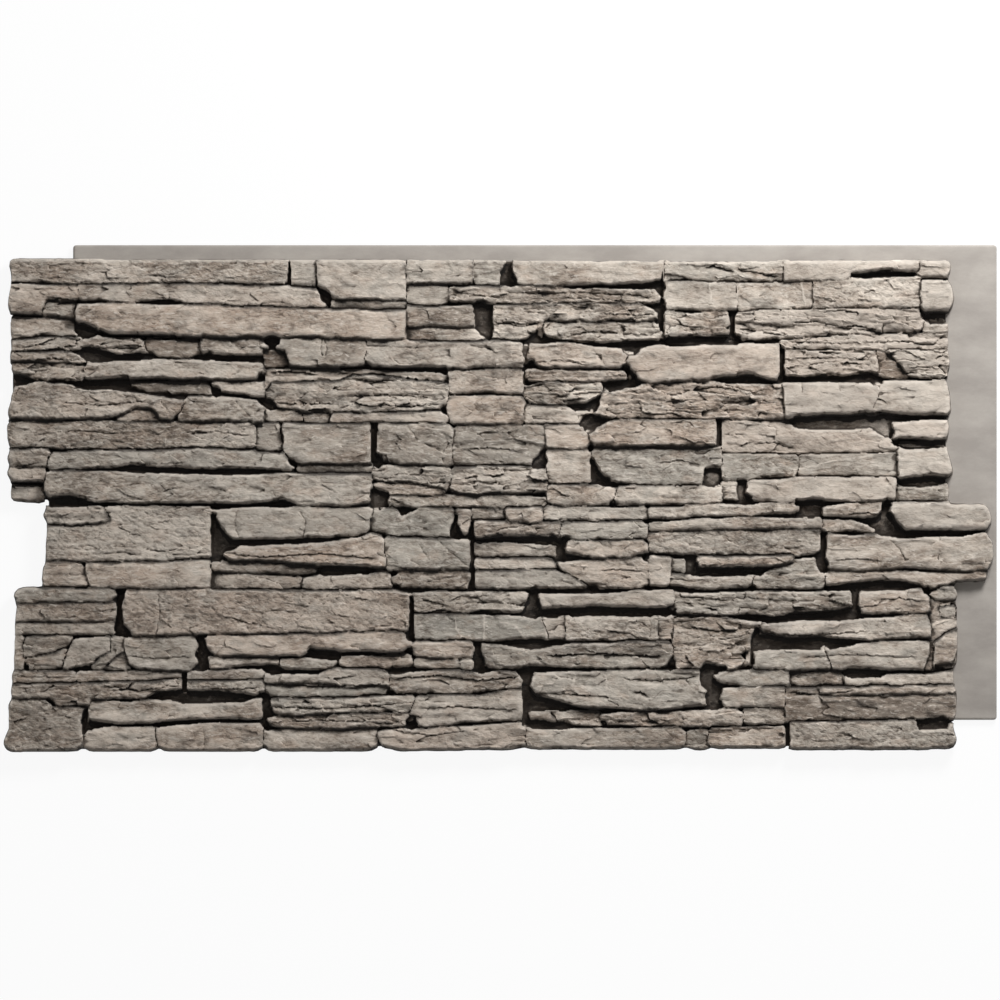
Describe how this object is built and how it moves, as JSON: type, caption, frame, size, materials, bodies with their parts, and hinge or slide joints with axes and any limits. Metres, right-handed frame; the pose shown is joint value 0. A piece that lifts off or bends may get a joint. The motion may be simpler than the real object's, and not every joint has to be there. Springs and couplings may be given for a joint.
{
  "type": "faux stone wall panel",
  "caption": "Rectangular foam siding panel moulded as a stacked ledge-stone wall, with ship-lap flanges and an interlocking tab and notch at its ends.",
  "frame": {"origin": "on the flat back, under the middle of the panel's outline", "axes": "+Z out of the stone face, +X along the courses towards the end with the projecting stones, +Y towards the top flange"},
  "size_m": [1.2449, 0.6349, 0.0318],
  "materials": {
    "painted_stone_face": "matt painted foam, warm grey-brown stone with dark joints"
  },
  "bodies": {
    "root": {"wall_panel": "painted_stone_face"}
  },
  "joints": []
}
